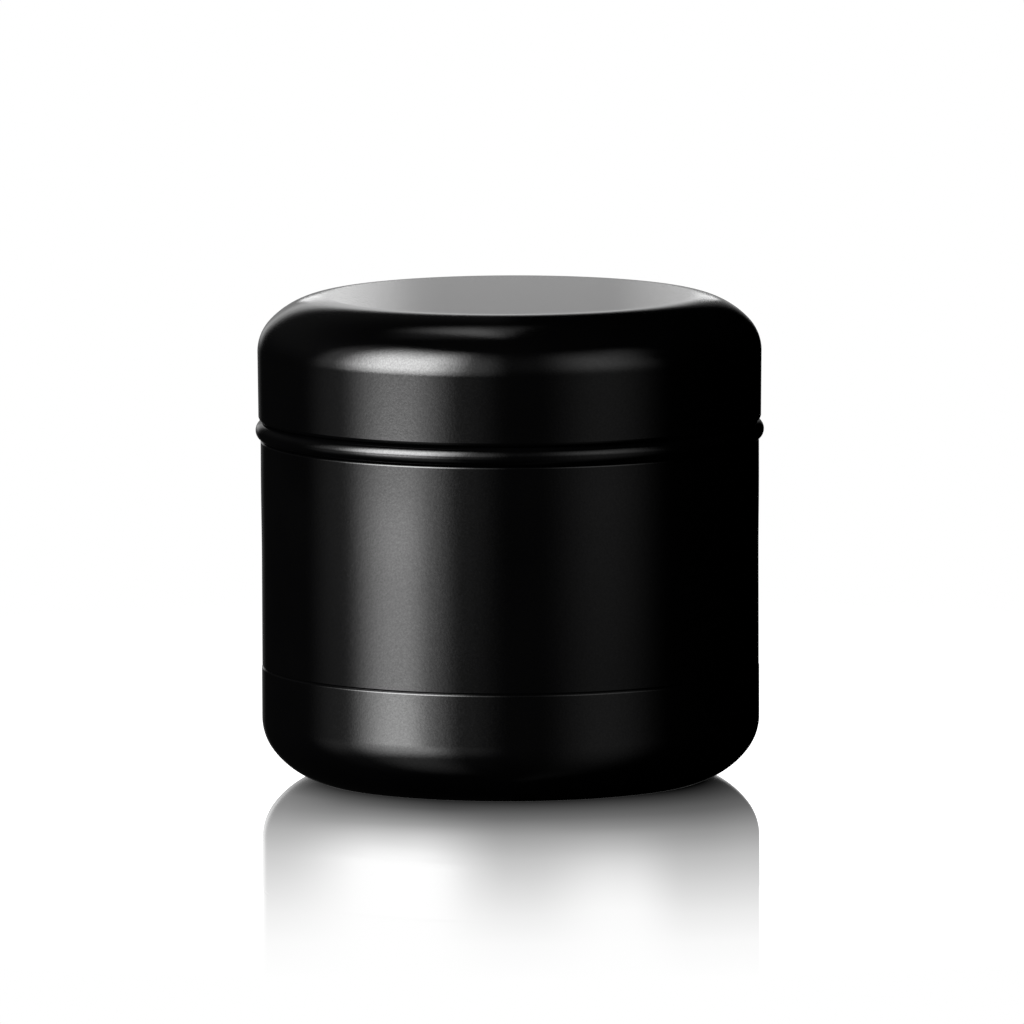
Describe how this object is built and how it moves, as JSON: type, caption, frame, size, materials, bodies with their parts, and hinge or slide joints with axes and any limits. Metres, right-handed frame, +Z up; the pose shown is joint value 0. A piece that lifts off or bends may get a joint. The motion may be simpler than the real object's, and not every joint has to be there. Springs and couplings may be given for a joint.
{
  "type": "candle tin",
  "caption": "Round drawn steel candle tin in satin black with a rounded slip lid that lifts off, holding a poured wax candle with a tabbed wick.",
  "frame": {"origin": "centre of the flat standing ring under the tin, in the plane the tin stands on", "axes": "+Z up along the tin's axis, towards the lid; the tin is round, so +X and +Y are interchangeable"},
  "size_m": [0.0778, 0.0778, 0.0741],
  "materials": {
    "black_paint": "satin",
    "tinplate": "satin",
    "wax": "satin",
    "cotton": "matte",
    "sticker_foam": "matte"
  },
  "bodies": {
    "tin": {"tin_body": "black_paint", "wax": "wax", "wick": "cotton", "wick_tab": "tinplate", "wick_sticker": "sticker_foam"},
    "lid": {"lid": "black_paint"}
  },
  "joints": [
    {"name": "lid_lift", "type": "slide", "parent": "tin", "child": "lid", "axis": [0, 0, 1], "range_m": [0, 0.06]}
  ]
}
